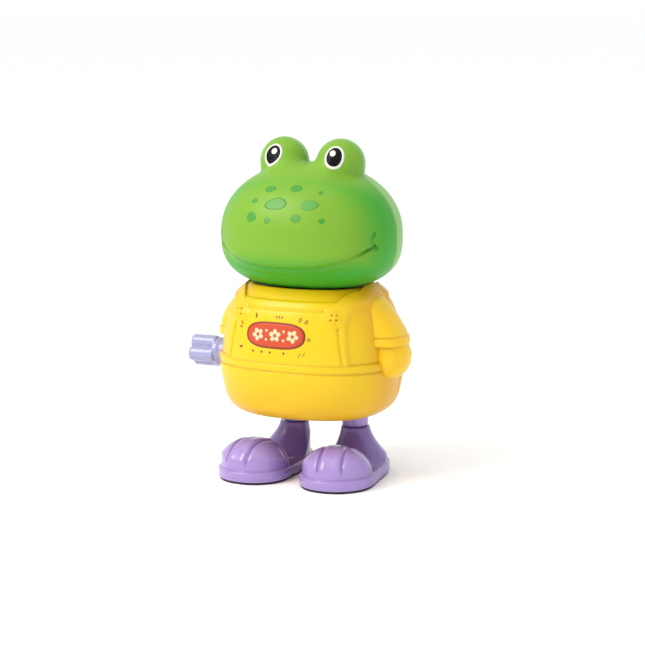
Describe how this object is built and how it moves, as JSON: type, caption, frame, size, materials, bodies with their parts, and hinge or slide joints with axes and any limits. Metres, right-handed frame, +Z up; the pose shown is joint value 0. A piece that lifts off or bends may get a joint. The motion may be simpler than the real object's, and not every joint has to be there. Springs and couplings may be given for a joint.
{
  "type": "wind-up walking frog",
  "caption": "Upright plastic frog figure in dungarees and big boots, with a side winding knob and a clockwork motor that swings its legs.",
  "frame": {"origin": "under the middle of the figure's box, on the surface that it stands on", "axes": "+Z up, the frog faces -Y, +X towards its left hand, the winding knob points along -X"},
  "size_m": [0.0718, 0.0474, 0.1016],
  "materials": {
    "green_plastic": "satin moulded plastic",
    "yellow_plastic": "semi-gloss moulded plastic",
    "purple_plastic": "glossy moulded plastic",
    "lavender_plastic": "glossy moulded plastic",
    "sole_plastic": "matt dark plastic",
    "white_plastic": "natural acetal",
    "steel": "drawn and rolled steel"
  },
  "bodies": {
    "housing": {"head_front_shell": "green_plastic", "head_rear_shell": "green_plastic", "body_front_shell": "yellow_plastic", "body_rear_shell": "yellow_plastic", "left_arm": "yellow_plastic", "right_arm": "yellow_plastic", "gearbox_case": "white_plastic", "gearbox_cover": "white_plastic", "mainspring": "steel", "gearbox_screw_front": "steel", "gearbox_screw_rear": "steel", "gearbox_screw_top": "steel", "gearbox_mount_screw_lower": "steel", "gearbox_mount_screw_upper": "steel", "body_screw_upper_left": "steel", "body_screw_upper_right": "steel", "body_screw_lower_left": "steel", "body_screw_lower_right": "steel", "left_leg_pivot_screw": "steel", "right_leg_pivot_screw": "steel"},
    "winder": {"winding_knob": "lavender_plastic", "winding_arbor": "steel", "main_gear": "white_plastic"},
    "intermediate": {"intermediate_gear": "white_plastic", "intermediate_arbor": "steel"},
    "crankshaft": {"crank_pinion": "white_plastic", "crank_axle": "steel", "left_crank": "white_plastic", "right_crank": "white_plastic"},
    "escapement": {"escape_wheel": "white_plastic", "escape_arbor": "steel"},
    "beater": {"pallet": "white_plastic", "pallet_arbor": "steel"},
    "left_foot": {"left_leg": "purple_plastic", "left_boot": "purple_plastic", "left_sole": "sole_plastic", "left_boot_screw": "steel"},
    "right_foot": {"right_leg": "purple_plastic", "right_boot": "purple_plastic", "right_sole": "sole_plastic", "right_boot_screw": "steel"}
  },
  "joints": [
    {"name": "winding_turn", "type": "hinge", "parent": "housing", "child": "winder", "pos_m": [0.0037, -0.00035, 0.035], "axis": [1, 0, 0], "continuous": true},
    {"name": "intermediate_turn", "type": "hinge", "parent": "housing", "child": "intermediate", "pos_m": [0.0037, 0.00842, 0.0396], "axis": [1, 0, 0], "continuous": true},
    {"name": "crank_turn", "type": "hinge", "parent": "housing", "child": "crankshaft", "pos_m": [0.0037, 0.00865, 0.03], "axis": [1, 0, 0], "continuous": true},
    {"name": "escape_turn", "type": "hinge", "parent": "housing", "child": "escapement", "pos_m": [0.0037, 0.00063, 0.0441], "axis": [1, 0, 0], "continuous": true},
    {"name": "pallet_beat", "type": "hinge", "parent": "housing", "child": "beater", "pos_m": [0.0037, -0.0069, 0.04516], "axis": [1, 0, 0], "range_deg": [-3, 3]},
    {"name": "left_leg_swing", "type": "hinge", "parent": "housing", "child": "left_foot", "pos_m": [0.0134, 0.00865, 0.045], "axis": [1, 0, 0], "range_deg": [-6, 6]},
    {"name": "right_leg_swing", "type": "hinge", "parent": "housing", "child": "right_foot", "pos_m": [-0.006, 0.00865, 0.045], "axis": [1, 0, 0], "range_deg": [-6, 6]}
  ],
  "couplings": [
    {"joint": "intermediate_turn", "follows": "winding_turn", "ratio": -2.6667},
    {"joint": "crank_turn", "follows": "winding_turn", "ratio": 5.8667},
    {"joint": "escape_turn", "follows": "winding_turn", "ratio": 7.3333},
    {"joint": "right_leg_swing", "follows": "left_leg_swing", "ratio": -1}
  ]
}
